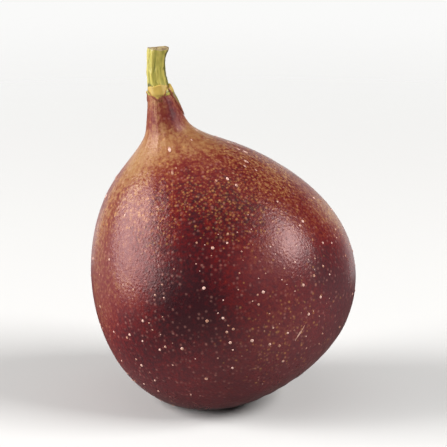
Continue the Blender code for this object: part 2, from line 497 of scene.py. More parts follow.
# Patches where the skin is riper or paler: direction, distance, half width in degrees, half
# length in millimetres, change of ripeness
RIPENESS_PATCHES = (
    (258.0, 26.5, 20.0, 9.0, 0.34),
    (262.0, 37.0, 16.0, 6.0, 0.09),
    (249.0, 33.0, 9.0, 5.0, 0.14),
    (269.0, 32.0, 11.0, 4.0, 0.10),
    (288.0, 41.0, 16.0, 5.0, 0.08),
    (298.0, 32.0, 16.0, 5.0, -0.10),
    (283.0, 54.0, 5.0, 5.0, 0.17),
    (276.0, 46.0, 6.0, 6.0, 0.13),
    (266.0, 42.0, 10.0, 5.0, 0.05),
    (322.0, 34.0, 12.0, 7.0, -0.12),
    (320.0, 23.0, 8.0, 9.0, 0.22),
    (256.0, 50.0, 8.0, 5.0, 0.12),
    (299.0, 46.0, 12.0, 5.0, 0.15),
    (344.0, 45.0, 26.0, 9.0, -0.16),
    (356.0, 29.0, 17.0, 10.0, -0.34),
    (332.0, 17.0, 16.0, 8.0, 0.22),
    (287.0, 16.0, 13.0, 6.0, -0.10),
    (222.0, 53.0, 26.0, 7.0, -0.15),
    (204.0, 41.0, 14.0, 13.0, -0.30),
    (229.0, 38.0, 13.0, 6.0, -0.20),
    (203.0, 24.0, 12.0, 8.0, -0.04),
    (222.0, 22.0, 18.0, 9.0, 0.22),
    (304.0, 65.0, 13.0, 4.0, 0.30),
    (226.0, 62.0, 16.0, 3.0, 0.06),
    (240.0, 67.0, 30.0, 2.4, -0.14),
    (30.0, 24.0, 18.0, 9.0, 0.20),
    (62.0, 38.0, 18.0, 8.0, 0.16),
    (84.0, 52.0, 7.0, 7.0, 0.12),
    (112.0, 24.0, 22.0, 9.0, 0.28),
    (140.0, 48.0, 22.0, 8.0, -0.14),
    (165.0, 30.0, 16.0, 10.0, -0.18),
    (170.0, 14.0, 22.0, 7.0, 0.16),
)

# Patches of duller, mauve skin, given in the same way
DULL_PATCHES = (
    (300.0, 30.0, 18.0, 7.0, 0.40),
    (212.0, 40.0, 20.0, 11.0, 0.50),
    (290.0, 12.0, 38.0, 12.0, 0.20),
    (120.0, 33.0, 24.0, 9.0, 0.30),
    (40.0, 14.0, 30.0, 9.0, 0.20),
)

# Patches with more or fewer gold flecks than the skin beside them
GOLD_PATCHES = (
    (289.0, 15.0, 20.0, 8.0, 0.38),
    (30.0, 22.0, 25.0, 9.0, 0.30),
    (216.0, 41.0, 34.0, 10.0, -1.0),
    (268.0, 42.0, 12.0, 7.0, -0.60),
    (150.0, 50.0, 30.0, 9.0, -0.40),
)

# The middle of the shoulder, and how far it reaches both ways
SHOULDER_AT = 46.5
SHOULDER_REACH = 8.0

# Where, on the way from eye to neck, the duller low skin ends, the grain fades, the neck's blotches
# start, the eye's ribs die out and the neck's ribs rise: first and last distance
LOW_SKIN_ENDS = (14.0, 30.0)
GRAIN_FADES = (50.0, 58.0)
NECK_STARTS = (58.0, 63.0)
EYE_RIBS_END = (3.0, 9.0)
NECK_RIBS_RISE = (28.0, 58.0)

# The heights at which the ribs start and reach their full relief, so that none lift the fruit
RIBS_OFF_FLOOR = (0.1 * MM, 2.5 * MM)

# The sharpest edge between two CAD triangles that become one quad, and how skewed it may be
QUAD_FACE_ANGLE = math.radians(40.0)
QUAD_SHAPE_ANGLE = math.radians(60.0)


class FigSkinSettings(PropertyGroup):
    ribs: IntProperty(
        name="Ribs", description="Faint ribs round the fruit, from neck to eye", default=22, min=0
    )
    rib_height: length_property("Rib height", "Height of the ribs at the neck", 0.035)
    dimple_height: length_property("Dimple height", "Depth of the skin's shallow dimples", 0.18)
    dimple_size: length_property("Dimple size", "Width of the skin's shallow dimples", 5.0)
    roughness: FloatProperty(
        name="Roughness",
        description="How far the thin wax on the skin spreads a highlight",
        subtype="FACTOR",
        default=0.30,
        min=0.0,
        max=1.0,
    )
    straw: colour_property("Straw", "Where the skin has hardly coloured", "A27C54")
    ochre: colour_property("Ochre", "Where green still shows through the red", "92643E")
    brick: colour_property("Brick", "Half ripe skin", "73331F")
    maroon: colour_property("Maroon", "Ripe skin", "600F0E")
    plum: colour_property("Plum", "Fully ripe skin", "470D12")
    black_plum: colour_property("Black plum", "The darkest patches", "2A0D13")
    # The dull mauve is laid on the low skin near the eye, on the neck and in patches
    dull: colour_property("Dull mauve", "Worn skin low down and on the neck", "6B4043")
    gold_flecks: colour_property("Gold flecks", "The fine pale pores on the shoulder", "BE8A50")
    pink_flecks: colour_property("Pink flecks", "The pale pores all over the skin", "B57F72")
    bloom: colour_property("Bloom", "The powdery bloom that shows along the edges", "F0C4BC")
    wax: colour_property("Wax", "The tint that the waxy skin gives a highlight", "FFDAD6")


def patched(values, patches, angles, distances):
    """Values changed in soft patches: direction, distance, half width, half length, change."""
    for direction, distance, half_width, half_length, change in patches:
        across = facing(angles, direction, half_width)
        values = values + change * across * bell((distances - distance) / half_length)
    return values


def pored(add, spot, colour, layers):
    """A colour with layers of pale pores in it, and the last layer's pores, from 0 to 1.

    Each layer is the pores' spacing in millimetres, the share of them that shows, how strong the
    palest ones are, and their colour.
    """
    for spacing, shown, strength, tint in layers:
        cells = add("ShaderNodeTexVoronoi", {"Vector": spot, "Scale": pattern_scale(spacing)})
        pore = add(
            "ShaderNodeMapRange",
            {"Value": cells.outputs["Distance"], "From Min": 0.5, "From Max": 0.0},
            interpolation_type="SMOOTHSTEP",
        )
        chance = add("ShaderNodeSeparateXYZ", {0: cells.outputs["Color"]}).outputs
        pale = add("ShaderNodeMath", {0: chance["X"], 1: shown}, operation="LESS_THAN")
        there = add("ShaderNodeMath", {0: pore, 1: pale}, operation="MULTIPLY")
        unlike = add(
            "ShaderNodeMapRange",
            {"Value": chance["Y"], "To Min": 0.2 * strength, "To Max": strength},
        )
        fleck = add("ShaderNodeMath", {0: there, 1: unlike}, operation="MULTIPLY")
        mixed = {0: fleck, MIX_UNDER: colour, MIX_OVER: tint}
        colour = add("ShaderNodeMix", mixed, data_type="RGBA").outputs[MIX_RESULT]
    return colour, pore


def skin_material(settings):
    """Ripe fig skin: thin, soft and matt under a trace of wax, so its highlights are broad."""
    material, shader, add = new_material("ripe_fig_skin")
    place = add("ShaderNodeAttribute", attribute_name="round_axis").outputs["Vector"]
    ripeness, dullness, shoulder, neck, graininess = (
        add("ShaderNodeAttribute", attribute_name=name).outputs["Fac"]
        for name in ("ripeness", "dullness", "shoulder", "neck", "graininess")
    )
    spot = add("ShaderNodeTexCoord").outputs["Object"]

    # Streaks run from neck to eye, about 2 mm wide and 15 mm long on the body
    stretch = {0: place, 1: (12.0, 12.0, 1.0 / 15.0)}
    drawn_out = add("ShaderNodeVectorMath", stretch, operation="MULTIPLY")
    streaks = add(
        "ShaderNodeTexNoise",
        {"Vector": drawn_out, "Scale": 1.0, "Detail": 4.0, "Roughness": 0.6},
    )
    # Mottles 7 mm apart, grains 0.8 mm apart, blotches 1.6 mm apart on the neck, and the fine
    # grain of the surface, 0.45 mm apart: spacing, detail, roughness
    noises = ((7.0, 5.0, 0.62), (0.8, 3.0, 0.65), (1.6, 3.0, 0.6), (0.45, 2.0, 0.5))
    mottles, grains, blotches, fine_grain = (
        add(
            "ShaderNodeTexNoise",
            {"Vector": spot, "Scale": pattern_scale(spacing), "Detail": detail, "Roughness": rough},
        )
        for spacing, detail, rough in noises
    )
    # How strongly each of them makes the skin riper or paler
    on_neck = add("ShaderNodeMath", {0: neck, 1: 0.45}, operation="MULTIPLY")
    strengths = ((streaks, 0.16), (mottles, 0.34), (grains, graininess), (blotches, on_neck))
    shade = ripeness
    for noise, strength in strengths:
        centred = add("ShaderNodeMath", {0: noise, 1: 0.5}, operation="SUBTRACT")
        shade = add("ShaderNodeMath", {0: centred, 1: strength, 2: shade}, operation="MULTIPLY_ADD")
    stops = (
        (0.08, settings.straw),
        (0.26, settings.ochre),
        (0.43, settings.brick),
        (0.59, settings.maroon),
        (0.80, settings.plum),
        (1.0, settings.black_plum),
    )
    ripe = add("ShaderNodeValToRGB", {"Fac": shade}, stops=stops)
    dulled = {0: dullness, MIX_UNDER: ripe, MIX_OVER: settings.dull}
    colour = add("ShaderNodeMix", dulled, data_type="RGBA").outputs[MIX_RESULT]

    # Two sizes of gold pores crowd on the shoulder, and pinker ones lie all over
    layers = (
        (0.60, shoulder, 0.50, settings.gold_flecks),
        (0.85, shoulder, 0.60, settings.gold_flecks),
        (0.90, 0.45, 0.40, settings.pink_flecks),
    )
    colour, pore = pored(add, spot, colour, layers)
    height = add("ShaderNodeMath", {0: pore, 1: 0.6, 2: fine_grain}, operation="MULTIPLY_ADD")
    bump = add("ShaderNodeBump", {"Strength": 0.48, "Distance": BUMP_DEPTH, "Height": height})
    least, most = settings.roughness - 0.06, settings.roughness + 0.06
    waxed = add(
        "ShaderNodeMapRange",
        {"Value": mottles, "From Min": 0.3, "From Max": 0.7, "To Min": least, "To Max": most},
    )
    rough = add("ShaderNodeMath", {0: neck, 1: 0.22, 2: waxed}, operation="MULTIPLY_ADD")
    feed(shader, {"Base Color": colour, "Normal": bump, "Roughness": rough, "IOR": 1.38})
    # A trace of bloom pales the skin where it turns away
    bloom = {"Sheen Weight": 0.06, "Sheen Roughness": 0.4, "Sheen Tint": settings.bloom}
    feed(shader, {"Specular Tint": settings.wax, **bloom})
    return material


def paint_skin(mesh):
    """Keeps how ripe, dull and grainy the skin is, and where its shoulder and its neck lie."""
    angles, distances = AXIS.places(mesh_points(mesh))
    ripeness = np.interp(distances, *zip(*RIPENESS_ALONG))
    neck = smoothstep(*NECK_STARTS, distances)
    low = 1.0 - smoothstep(*LOW_SKIN_ENDS, distances)
    dullness = 0.03 + 0.3 * low + 0.05 * neck
    shoulder = bell((distances - SHOULDER_AT) / SHOULDER_REACH)
    shoulder = np.maximum(patched(shoulder, GOLD_PATCHES, angles, distances), 0.0)
    faded = smoothstep(*GRAIN_FADES, distances)
    write_attribute(mesh, "ripeness", patched(ripeness, RIPENESS_PATCHES, angles, distances))
    write_attribute(mesh, "dullness", patched(dullness, DULL_PATCHES, angles, distances))
    write_attribute(mesh, "neck", neck)
    write_attribute(mesh, "shoulder", shoulder)
    write_attribute(mesh, "graininess", 0.9 + 0.7 * shoulder - 0.5 * faded)


class FIG_OT_skin(Operator):
    """Makes the fruit's skin from the CAD fruit: ribbed, dimpled and coloured by ripeness"""

    bl_idname = "fig.skin"
    bl_label = "Skin"

    def execute(self, context):
        settings = context.scene.fig_skin
        bm = merged_cad("fruit")
        bmesh.ops.join_triangles(
            bm,
            faces=bm.faces,
            angle_face_threshold=QUAD_FACE_ANGLE,
            angle_shape_threshold=QUAD_SHAPE_ANGLE,
        )
        skin = object_from("fig_skin", bm)
        points = mesh_points(skin.data)
        angles, distances = AXIS.places(points)
        write_places(skin.data, angles, distances)
        # The ribs are strongest at the neck and the eye, and none stand where the fruit rests
        off_floor = smoothstep(*RIBS_OFF_FLOOR, points[:, 2])
        near_neck = smoothstep(*NECK_RIBS_RISE, distances)
        near_eye = 1.0 - smoothstep(*EYE_RIBS_END, distances)
        write_attribute(skin.data, "relief", off_floor * (0.4 + 0.6 * near_neck + 1.2 * near_eye))
        values = {
            "Subdivisions": SUBDIVISIONS,
            "Ribs": settings.ribs,
            "Rib Height": settings.rib_height,
            "Dimple Height": settings.dimple_height,
            "Dimple Size": settings.dimple_size,
            "Material": skin_material(settings),
        }
        grow(skin, ribbed_surface_tree(), values)
        paint_skin(skin.data)
        finish_piece(skin, "fig_skin", "fruit")
        return {"FINISHED"}


# ---------------------------------------------------------------- stalk

# The stalk's shape from foot to cut: share of its height, bow towards -X, radius
STALK_KNOTS = (
    (-0.07, 0.05 * MM, 2.45 * MM),
    (0.0, 0.0, 2.75 * MM),
    (0.05, 0.0, 2.62 * MM),
    (0.13, 0.25 * MM, 2.36 * MM),
    (0.30, 0.62 * MM, 2.12 * MM),
    (0.50, 0.82 * MM, 1.98 * MM),
    (0.72, 0.78 * MM, 1.94 * MM),
    (0.88, 0.60 * MM, 2.04 * MM),
    (0.96, 0.48 * MM, 2.20 * MM),
    (0.99, 0.45 * MM, 2.16 * MM),
)

# The cut across its top: share of the radius, drop below the rim
STALK_CUT = ((0.92, 0.0), (0.80, 0.12 * MM), (0.62, 0.34 * MM), (0.42, 0.30 * MM), (0.2, 0.2 * MM))

# How finely it is drawn: points in a ring, rings over its flared foot, and the share of its
# height at which these start
STALK_AROUND = 24
STALK_RINGS = 15
STALK_FLARE_TOP = 0.05

# The shares of its height at which its rim starts to dry and is driest, short of the cut
STALK_DRIES = (0.9, 0.99)

# Where its rim bulges, and its darker sides, where olive painted shade is laid: direction, half
# width in degrees
STALK_LIP = (0.0, 40.0)
STALK_PAINTED_SHADE_SIDE = (350.0, 34.0)
STALK_PAINTED_SHADE_LOW_LEFT = (215.0, 40.0)

# How far the lip bulges, as a share of the radius, and how uneven the cut is
LIP_BULGE = 0.16
CUT_UNEVENNESS = 0.16 * MM


class FigStalkSettings(PropertyGroup):
    ribs: IntProperty(name="Ridges", description="Ridges round the stalk", default=9, min=0)
    rib_height: length_property("Ridge height", "Height of the stalk's ridges", 0.16)
    yellow: colour_property("Yellow green", "The ridges' colour", "B3A551")
    green: colour_property("Green", "The colour between the ridges", "8F893B")
    # Olive is painted shade, laid on the stalk's side towards +X, low on its left and at its foot
    olive: colour_property("Olive", "The stalk's darker side and foot", "57531F")
    dry: colour_property("Dry brown", "The dried rim of the cut", "6E5742")
    pith: colour_property("Pith", "The middle of the cut", "B9A876")


def blotched(add, blotches, colour, patches):
    """A colour with others laid over it, whose edges are broken up by blotches.

    Each patch is an attribute, the sums with the blotches at which it starts to show and covers
    all, and its colour.
    """
    for wanted, low, high, tint in patches:
        broken = add("ShaderNodeMath", {0: wanted, 1: blotches}, operation="ADD")
        share = add(
            "ShaderNodeMapRange",
            {"Value": broken, "From Min": low, "From Max": high},
            interpolation_type="SMOOTHSTEP",
        )
        mixed = {0: share, MIX_UNDER: colour, MIX_OVER: tint}
        colour = add("ShaderNodeMix", mixed, data_type="RGBA").outputs[MIX_RESULT]
    return colour


def stalk_material(settings):
    """Green fig stalk: fibrous and moist, half glossy, with a dry corky cut."""
    material, shader, add = new_material("green_fig_stalk")
    place = add("ShaderNodeAttribute", attribute_name="round_axis").outputs["Vector"]
    crest, shade, dryness = (
        add("ShaderNodeAttribute", attribute_name=name).outputs["Fac"]
        for name in ("crest", "shade", "dryness")
    )
    spot = add("ShaderNodeTexCoord").outputs["Object"]

    # Fibres 0.4 mm wide and 5 mm long
    stretch = {0: place, 1: (5.0, 5.0, 1.0 / 5.0)}
    drawn_out = add("ShaderNodeVectorMath", stretch, operation="MULTIPLY")
    fibres = add(
        "ShaderNodeTexNoise",
        {"Vector": drawn_out, "Scale": 1.0, "Detail": 3.0, "Roughness": 0.6},
    )
    blotches = add(
        "ShaderNodeTexNoise",
        {"Vector": spot, "Scale": pattern_scale(1.2), "Detail": 3.0, "Roughness": 0.6},
    )
    raised = add("ShaderNodeMath", {0: crest, 1: 0.28, 2: fibres}, operation="MULTIPLY_ADD")
    green_stops = ((0.30, settings.green), (0.62, settings.yellow))
    green = add("ShaderNodeValToRGB", {"Fac": raised}, stops=green_stops)
    corky_stops = ((0.35, settings.dry), (0.7, settings.pith))
    corky = add("ShaderNodeValToRGB", {"Fac": blotches}, stops=corky_stops)
    # The olive patch is painted shade on the stalk's side towards +X, low on its left and at its
    # foot
    patches = ((shade, 0.75, 1.1, settings.olive), (dryness, 0.75, 1.1, corky))
    bump = add("ShaderNodeBump", {"Strength": 0.6, "Distance": BUMP_DEPTH, "Height": fibres})
    colour = blotched(add, blotches, green, patches)
    feed(shader, {"Base Color": colour, "Normal": bump, "Roughness": 0.42, "IOR": 1.38})
    return material


def stalk_rings(length):
    """The rings from foot to cut: share of the height, bow, radius, height, dryness."""
    knots = np.array(STALK_KNOTS)
    rim, rim_bow, rim_radius = knots[-1]
    rings = []
    for share in [*knots[:2, 0], *np.linspace(STALK_FLARE_TOP, rim, STALK_RINGS)]:
        bow, radius = (np.interp(share, knots[:, 0], knots[:, i]) for i in (1, 2))
        rings.append((share, bow, radius, share * length, 0.45 * smoothstep(*STALK_DRIES, share)))
    for inward, drop in STALK_CUT:
        rings.append((1.0, rim_bow, rim_radius * inward, rim * length - drop, 1.0))
    return rings


def stalk_ring(foot, turns, share, bow, radius, height, dryness):
    """One ring over the stalk's foot: its points, how much painted shade each has, and how dry each
    is.
    """
    # The rim bulges to one side, and the cut is a little uneven
    lip = facing(turns, *STALK_LIP) * smoothstep(0.86, 0.96, share)
    out = radius * (1.0 + LIP_BULGE * lip)
    waver = CUT_UNEVENNESS * np.sin(2.0 * turns + 0.7) * smoothstep(0.8, 1.0, share)
    x = foot.x - bow + out * np.cos(turns)
    y = foot.y + out * np.sin(turns)
    # Painted shade: olive on the side towards +X, low on the left, and at the foot where the stalk
    # meets the neck
    painted_side_shade = 0.62 * facing(turns, *STALK_PAINTED_SHADE_SIDE)
    painted_low_left_shade = 0.75 * facing(turns, *STALK_PAINTED_SHADE_LOW_LEFT) * bell((share - 0.12) / 0.14)
    painted_foot_shade = 0.5 * bell((share - 0.06) / 0.05)
    shade = np.maximum(np.maximum(painted_side_shade, painted_low_left_shade), painted_foot_shade)
    return np.stack([x, y, foot.z + height + waver], axis=1), shade, dryness + 0.3 * lip


class FIG_OT_stalk(Operator):
    """Makes the stalk: a bowed, ridged stem with a flared foot and a dry cut top"""

    bl_idname = "fig.stalk"
    bl_label = "Stalk"

    def execute(self, context):
        settings = context.scene.fig_stalk
        lowest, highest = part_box("stalk")
        foot = AXIS.at(NECK_TOP_AT)[0]
        foot.z = lowest.z
        turns = np.arange(STALK_AROUND) * 2.0 * math.pi / STALK_AROUND
        rings = stalk_rings(highest.z - lowest.z)
        points, shade, dryness = zip(*(stalk_ring(foot, turns, *ring) for ring in rings))
        # The ridges rise over the foot, and die out as the rim dries
        relief = [smoothstep(0.02, 0.2, ring[0]) * (1.0 - ring[4]) for ring in rings]
        heights = [ring[3] / MM for ring in rings]

        # Every list ends with the two poles, at the foot and in the cut
        stalk = object_from("fig_stalk", lofted(points))
        angles = [*np.tile(turns, len(rings)), 0.0, 0.0]
        heights = [*np.repeat(heights, STALK_AROUND), heights[0], heights[-1]]
        write_places(stalk.data, angles, heights)
        write_attribute(stalk.data, "relief", [*np.repeat(relief, STALK_AROUND), 0.0, 0.0])
        # shade is the painted shade that turns the stalk olive
        write_attribute(stalk.data, "shade", [*np.concatenate(shade), 0.0, 0.0])
        write_attribute(stalk.data, "dryness", [*np.concatenate(dryness), 0.0, 1.0])
        values = {
            "Subdivisions": SUBDIVISIONS,
            "Ribs": settings.ribs,
            "Rib Height": settings.rib_height,
            "Rib Wander": 2.0,
            "Rib Length": 9.0,
            "Dimple Height": 0.2 * MM,
            "Dimple Size": 2.5 * MM,
            "Material": stalk_material(settings),
        }
        grow(stalk, ribbed_surface_tree(), values)
        finish_piece(stalk, "green_stalk", "stalk")
        return {"FINISHED"}


# ---------------------------------------------------------------- neck scales

# Scales round the neck's top: node, direction, width, top edge's distance, length, roundness of
# the tip, how olive it is. Width and length are in millimetres.
NECK_SCALES = (
    ("neck_scale_front", 264.0, 5.2, 70.9, 3.3, 0.8, 0.1),
    ("neck_scale_right", 8.0, 3.8, 70.4, 7.4, 0.7, 1.0),
    ("neck_scale_back", 135.0, 4.6, 69.6, 4.0, 0.6, 0.35),
)

# Columns and rows of the sheet that a scale is drawn with, and how deep its top edge is rooted
NECK_SCALE_GRID = (20, 16)
NECK_SCALE_ROOT = 0.15 * MM


class FigNeckScaleSettings(PropertyGroup):
    thickness: length_property("Thickness", "Thickness of a neck scale in its middle", 0.45)
    lift: length_property("Tip lift", "How far a scale's tip stands off the skin", 0.06)
    yellow: colour_property("Yellow", "The scales' own colour", "B1944A")
    olive: colour_property("Olive", "Where a scale is still green", "75683A")
    edge: colour_property("Edge", "The dried edge and tip", "7A4330")


def neck_scale_material(settings):
    """Fleshy bract at the neck: smooth, a little waxy, dried brown along its edge."""
    material, shader, add = new_material("fig_neck_bract")
    olive, edge = (
        add("ShaderNodeAttribute", attribute_name=name).outputs["Fac"] for name in ("olive", "edge")
    )
    spot = add("ShaderNodeTexCoord").outputs["Object"]
    blotches = add(
        "ShaderNodeTexNoise",
        {"Vector": spot, "Scale": pattern_scale(0.9), "Detail": 4.0, "Roughness": 0.6},
    )
    patches = ((olive, 0.75, 1.25, settings.olive), (edge, 0.8, 1.3, settings.edge))
    colour = blotched(add, blotches, settings.yellow, patches)
    bump = add("ShaderNodeBump", {"Strength": 0.5, "Distance": BUMP_DEPTH, "Height": blotches})
    feed(shader, {"Base Color": colour, "Normal": bump, "Roughness": 0.45, "IOR": 1.36})
    return material


def neck_scale(surfaces, settings, direction, width, top, length, tip):
    """A tongue that hangs down over some surfaces from its top edge to its rounded tip."""

    def place(u, v, height):
        half = width / 2.0 * (0.08 + 0.92 * (1.0 - v**1.5) ** tip)
        distance = top - length * v - 0.12 * length * (1.0 - v) * u * u
        # Its outline wavers a little, unlike its neighbours'
        half *= 1.0 + 0.07 * math.sin(11.0 * v + direction)
        distance += 0.1 * math.sin(7.0 * u + direction)
        return AXIS.beside(surfaces, direction, distance, u * half * MM, height)

    def outer(u, v):
        full = (1.0 - u**4) * (1.0 - v**5)
        return place(u, v, settings.lift * v**2 + settings.thickness * (0.2 + 0.8 * full))

    def inner(u, v):
        return place(u, v, settings.lift * v**2 - NECK_SCALE_ROOT * (1.0 - v))

    return closed_sheet(*NECK_SCALE_GRID, outer, inner)


class FIG_OT_neck_scales(Operator):
    """Makes the three scales that hug the top of the neck and the foot of the stalk"""

    bl_idname = "fig.neck_scales"
    bl_label = "Neck scales"

    def execute(self, context):
        settings = context.scene.fig_neck_scales
        surfaces = [surface_of("fig_skin"), surface_of("fig_stalk")]
        material = neck_scale_material(settings)
        across, down = sheet_places(*NECK_SCALE_GRID)
        border = np.maximum(np.abs(across) ** 3, smoothstep(0.45, 1.0, down + 0.4 * across**2))
        for node, *shape, olive in NECK_SCALES:
            scale = object_from("fig_" + node, neck_scale(surfaces, settings, *shape))
            write_attribute(scale.data, "edge", border)
            write_attribute(scale.data, "olive", olive * smoothstep(0.05, 0.3, down))
            scale.data.materials.append(material)
            round_off = scale.modifiers.new("round_off", "SUBSURF")
            round_off.levels = 1
            round_off.render_levels = 1
            finish_piece(scale, "neck_scale", node)
        return {"FINISHED"}


# ---------------------------------------------------------------- eye scales

# Whorls of scales that close the eye: piece, CAD nodes, ring radius, height of the ring over the
# eye's mouth, width, length, rise and turn in degrees, seed
EYE_WHORLS = (
    ("eye_scales_outer", OUTER_EYE_SCALES, 3.7 * MM, -1.45 * MM, 3.3 * MM, 2.2 * MM, 34.0, 0.0, 3),
    ("eye_scales_inner", INNER_EYE_SCALES, 2.2 * MM, -1.3 * MM, 2.4 * MM, 3.2 * MM, 62.0, 30.0, 8),
)

# Columns and rows of the sheet that a scale is drawn with
EYE_SCALE_GRID = (8, 8)


class FigEyeScaleSettings(PropertyGroup):
    red: colour_property("Red", "The foot of an eye scale", "5E2420")
    tan: colour_property("Tan", "The dried tip of an eye scale", "A88262")
    thickness: length_property("Thickness", "Thickness of an eye scale", 0.32)


def whorl_tree():
    """Stands copies of a scale in a ring, leaning inwards, each a little unlike the next."""
    inputs = (
        ("Count", "Int", 6),
        ("Ring Radius", "Float", 3.5 * MM),
        ("Height", "Float", 0.0),
        ("Rise", "Float", math.radians(35.0)),
        ("Turn", "Float", 0.0),
        ("Unevenness", "Float", 0.12),
        ("Seed", "Int", 1),
        ("Material", "Material", None),
    )
    tree, given, add = new_geometry_tree("scale_whorl", inputs)
    index = add("GeometryNodeInputIndex")
    step = add("ShaderNodeMath", {0: 2.0 * math.pi, 1: given["Count"]}, operation="DIVIDE")
    angle = add("ShaderNodeMath", {0: index, 1: step, 2: given["Turn"]}, operation="MULTIPLY_ADD")
    ring = given["Ring Radius"]
    waves = [add("ShaderNodeMath", {0: angle}, operation=wave) for wave in ("COSINE", "SINE")]
    x, y = (add("ShaderNodeMath", {0: wave, 1: ring}, operation="MULTIPLY") for wave in waves)
    spot = add("ShaderNodeCombineXYZ", {"X": x, "Y": y, "Z": given["Height"]})
    points = add("GeometryNodePoints", {"Count": given["Count"], "Position": spot})
    inwards = add("ShaderNodeMath", {0: angle, 1: math.pi}, operation="ADD")
    least, most = (
        add("ShaderNodeMath", {0: 1.0, 1: given["Unevenness"]}, operation=sign)
        for sign in ("SUBTRACT", "ADD")
    )
    chance = {RANDOM_LEAST: least, RANDOM_MOST: most, "ID": index, "Seed": given["Seed"]}
    size = add("FunctionNodeRandomValue", chance, data_type="FLOAT").outputs[RANDOM_RESULT]
    lean = add("ShaderNodeMath", {0: size, 1: given["Rise"]}, operation="MULTIPLY")
    tipped = add("ShaderNodeMath", {0: lean, 1: -1.0}, operation="MULTIPLY")
    turned = add("ShaderNodeCombineXYZ", {"Y": tipped, "Z": inwards})
    rotation = add("FunctionNodeEulerToRotation", {0: turned})
    copies = add(
        "GeometryNodeInstanceOnPoints",
        {"Points": points, "Instance": given["Geometry"], "Rotation": rotation, "Scale": size},
    )
    finish_geometry_tree(add, copies, given["Material"])
    return tree


def eye_scale(name, width, length, thickness):
    """One eye scale, its foot at the origin and its tip towards +X: a pointed, cupped shell."""

    def place(u, v, height):
        half = width / 2.0 * (0.06 + 0.94 * (1.0 - v**2.2) ** 0.75)
        half *= 0.8 + 0.2 * math.sin(math.pi * v)
        y = u * half
        cup = 0.28 * y * y / (width / 2.0)
        nod = -0.18 * length * v**2
        return Vector((v * length, y, height - cup + nod))

    def outer(u, v):
        return place(u, v, thickness * (0.25 + 0.75 * (1.0 - u**4) * (1.0 - v**4)))

    def inner(u, v):
        return place(u, v, 0.0)

    scale = object_from(name, closed_sheet(*EYE_SCALE_GRID, outer, inner))
    write_attribute(scale.data, "tip", sheet_places(*EYE_SCALE_GRID)[1])
    return scale


def eye_scale_material(settings):
    """Papery bract of the eye: fleshy and red at its foot, dry and tan at its tip, quite matt."""
    material, shader, add = new_material("fig_eye_bract")
    tip = add("ShaderNodeAttribute", attribute_name="tip").outputs["Fac"]
    spot = add("ShaderNodeTexCoord").outputs["Object"]
    blotches = add(
        "ShaderNodeTexNoise",
        {"Vector": spot, "Scale": pattern_scale(0.7), "Detail": 3.0, "Roughness": 0.6},
    )
    centred = add("ShaderNodeMath", {0: blotches, 1: 0.6, 2: -0.3}, operation="MULTIPLY_ADD")
    dried = add("ShaderNodeMath", {0: centred, 1: tip}, operation="ADD")
    stops = ((0.35, settings.red), (0.95, settings.tan))
    colour = add("ShaderNodeValToRGB", {"Fac": dried}, stops=stops)
    bump = add("ShaderNodeBump", {"Strength": 0.5, "Distance": BUMP_DEPTH, "Height": blotches})
    feed(shader, {"Base Color": colour, "Normal": bump, "Roughness": 0.6})
    return material


class FIG_OT_eye_scales(Operator):
    """Makes the two whorls of small scales that close the fig's eye"""

    bl_idname = "fig.eye_scales"
    bl_label = "Eye scales"

    def execute(self, context):
        settings = context.scene.fig_eye_scales
        eye, across, along = AXIS.at(0.0)
        outwards = -along
        turn_to_eye = Matrix((across, outwards.cross(across), outwards)).transposed().to_4x4()
        to_eye = Matrix.Translation(eye) @ turn_to_eye
        tree = whorl_tree()
        material = eye_scale_material(settings)
        for name, nodes, ring, height, width, length, rise, turn, seed in EYE_WHORLS:
            whorl = eye_scale(name, width, length, settings.thickness)
            values = {
                "Count": len(nodes),
                "Ring Radius": ring,
                "Height": height,
                "Rise": math.radians(rise),
                "Turn": math.radians(turn),
                "Seed": seed,
                "Material": material,
            }
            grow(whorl, tree, values)
            whorl.data.transform(to_eye)
            finish_piece(whorl, "eye_scale", *nodes)
        return {"FINISHED"}


# ---------------------------------------------------------------- lenticels and scar

LENTICEL_SEED = 5

# How high a lenticel stands for its width, and its bead, one unit wide before it is scaled
LENTICEL_RISE = 0.34
LENTICEL_BEAD = {"Segments": 8, "Rings": 5, "Radius": 0.5}

# The sunny side, where they stand closest: direction and half width, then distance and reach
SUNNY_SIDE = (305.0, 55.0)
SUNNY_AT = 22.0
SUNNY_REACH = 16.0

# Where they start, away from the eye, where they grow sparse, and where they grow long: first
# and last distance
LENTICELS_START = (4.0, 8.0)
LENTICELS_SPARSE = (50.0, 60.0)
LENTICELS_LONG = (40.0, 62.0)

# The heights at which they start and stand as close as they will, clear of the floor
LENTICELS_OFF_FLOOR = (0.4 * MM, 2.0 * MM)

# A healed scratch low on the front: ends as direction and distance, width, how many degrees it
# bends aside, how far it stands out of the skin and reaches into it, columns and rows
SCAR_ENDS = ((293.4, 12.2), (300.6, 14.1))
SCAR_WIDTH = 0.75 * MM
SCAR_BEND = 0.2
SCAR_HEIGHT = 0.07 * MM
SCAR_ROOT = 0.12 * MM
SCAR_GRID = (6, 20)


class FigLenticelSettings(PropertyGroup):
    density: FloatProperty(
        name="Density",
        description="Most lenticels on a square metre of skin",
        default=115000.0,
        min=0.0,
    )
    spacing: length_property("Spacing", "Least distance between two lenticels", 1.3)
    smallest: length_property("Smallest", "Width of the smallest lenticels", 0.22)
    largest: length_property("Largest", "Width of the largest lenticels", 0.78)
    pale: colour_property("Pale", "The colour of most lenticels", "D6ADA0")
    dark: colour_property("Dark", "The colour of the duller ones", "A4735C")


